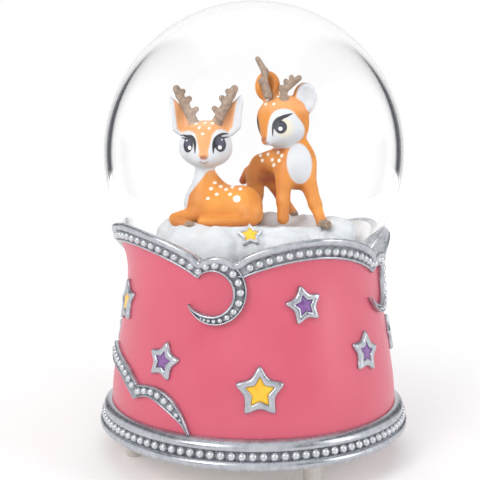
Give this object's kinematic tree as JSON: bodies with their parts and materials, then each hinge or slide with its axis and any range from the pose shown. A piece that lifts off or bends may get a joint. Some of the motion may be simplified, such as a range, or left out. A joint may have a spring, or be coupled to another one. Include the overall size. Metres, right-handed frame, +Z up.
{
  "type": "snow globe",
  "caption": "Wind-up musical snow globe: glass ball with two fawns on a cloud, on a waisted pink base with silver scalloped trims, moons and stars, on peg feet.",
  "frame": {"origin": "on the table, under the middle of the base, at the bottoms of the feet", "axes": "+Z up along the axis of the base and the ball; the front faces -Y"},
  "size_m": [0.104, 0.104, 0.1475],
  "materials": {
    "pink_resin": "satin",
    "silver_finish": "polished",
    "yellow_enamel": "gloss",
    "purple_enamel": "gloss",
    "white_plastic": "satin",
    "clear_glass": "gloss",
    "black_rubber": "matte",
    "white_resin": "satin",
    "fawn_resin": "satin",
    "snow": "gloss",
    "screw_steel": "polished",
    "key_steel": "satin",
    "frame_metal": "satin",
    "train_brass": "polished",
    "arbor_steel": "polished",
    "spring_steel": "satin",
    "fly_plastic": "matte"
  },
  "bodies": {
    "base": {"base_shell": "pink_resin", "upper_trim": "silver_finish", "lower_trim": "silver_finish", "crescent_moons": "silver_finish", "star_frames": "silver_finish", "star_inlays_purple": "purple_enamel", "star_inlays_yellow": "yellow_enamel", "ribbons": "silver_finish", "bottom_cover": "white_plastic", "feet": "white_plastic", "cover_screws": "screw_steel", "bedplate_screws": "screw_steel", "glass_globe": "clear_glass", "rubber_stopper": "black_rubber", "neck_gasket": "black_rubber", "cloud_plinth": "white_resin", "cloud_star_frame": "silver_finish", "cloud_star_inlay": "yellow_enamel", "lying_fawn": "fawn_resin", "standing_fawn": "fawn_resin", "snow_flakes": "snow", "movement_bedplate": "frame_metal", "barrel_bridge": "frame_metal", "cylinder_brackets": "frame_metal", "comb": "spring_steel", "comb_block": "frame_metal", "comb_screws": "screw_steel", "governor_bracket": "frame_metal"},
    "key": {"winding_key": "key_steel", "winding_arbor": "key_steel"},
    "barrel": {"spring_barrel": "train_brass", "barrel_cover": "train_brass", "mainspring": "spring_steel"},
    "cylinder": {"music_cylinder": "train_brass", "cylinder_arbor": "arbor_steel", "cylinder_pinion": "train_brass", "cylinder_wheel": "train_brass"},
    "governor": {"governor_pinion": "train_brass", "governor_wheel": "train_brass", "governor_arbor": "arbor_steel"},
    "fly": {"governor_worm": "train_brass", "governor_fly": "fly_plastic"}
  },
  "joints": [
    {"name": "key_winding", "type": "hinge", "parent": "base", "child": "key", "pos_m": [0, 0, 0.005], "axis": [0, 0, 1], "range_deg": [0, 2970]},
    {"name": "barrel_turn", "type": "hinge", "parent": "base", "child": "barrel", "pos_m": [0, 0, 0.018], "axis": [0, 0, 1], "continuous": true},
    {"name": "cylinder_turn", "type": "hinge", "parent": "base", "child": "cylinder", "pos_m": [0.025, 0, 0.0274], "axis": [1, 0, 0], "continuous": true},
    {"name": "governor_turn", "type": "hinge", "parent": "base", "child": "governor", "pos_m": [0.033, 0.0112, 0.0274], "axis": [1, 0, 0], "continuous": true},
    {"name": "fly_turn", "type": "hinge", "parent": "base", "child": "fly", "pos_m": [0.0312, 0.0176, 0.0274], "axis": [0, 0, 1], "continuous": true}
  ],
  "couplings": [
    {"joint": "cylinder_turn", "follows": "barrel_turn", "ratio": 2.5},
    {"joint": "governor_turn", "follows": "barrel_turn", "ratio": -6.25},
    {"joint": "fly_turn", "follows": "barrel_turn", "ratio": 100}
  ]
}
